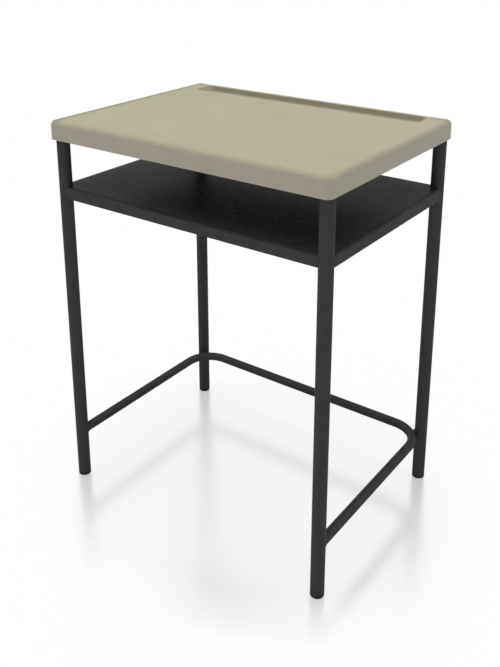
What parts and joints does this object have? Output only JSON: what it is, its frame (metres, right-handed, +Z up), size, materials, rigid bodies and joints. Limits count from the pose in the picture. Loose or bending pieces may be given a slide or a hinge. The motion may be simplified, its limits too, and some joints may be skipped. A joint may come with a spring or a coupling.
{
  "type": "study desk",
  "caption": "Single study desk: rounded moulded top with a pencil groove, on black round tube legs, with a folded steel book shelf and a U-shaped foot rail.",
  "frame": {"origin": "on the floor, under the middle of the top", "axes": "+Z up, +X along the width of the desk, -Y towards the person who sits at it, so the pencil groove is at +Y"},
  "size_m": [0.6, 0.44, 0.76],
  "materials": {
    "top_plastic": "beige moulded plastic, fine matt texture",
    "frame_coat": "black powder coat on steel, semi-matt",
    "foot_plastic": "black plastic foot plug",
    "screw_zinc": "zinc plated steel screw"
  },
  "bodies": {
    "root": {"desktop": "top_plastic", "leg_front_left": "frame_coat", "leg_front_right": "frame_coat", "leg_rear_left": "frame_coat", "leg_rear_right": "frame_coat", "foot_front_left": "foot_plastic", "foot_front_right": "foot_plastic", "foot_rear_left": "foot_plastic", "foot_rear_right": "foot_plastic", "top_rail_front": "frame_coat", "top_rail_rear": "frame_coat", "top_rail_left": "frame_coat", "top_rail_right": "frame_coat", "fixing_tab_left_front": "frame_coat", "fixing_tab_left_rear": "frame_coat", "fixing_tab_right_front": "frame_coat", "fixing_tab_right_rear": "frame_coat", "fixing_tab_front_left": "frame_coat", "fixing_tab_front_right": "frame_coat", "top_screw_left_front": "screw_zinc", "top_screw_left_rear": "screw_zinc", "top_screw_right_front": "screw_zinc", "top_screw_right_rear": "screw_zinc", "top_screw_front_left": "screw_zinc", "top_screw_front_right": "screw_zinc", "book_shelf": "frame_coat", "foot_rail": "frame_coat"}
  },
  "joints": []
}
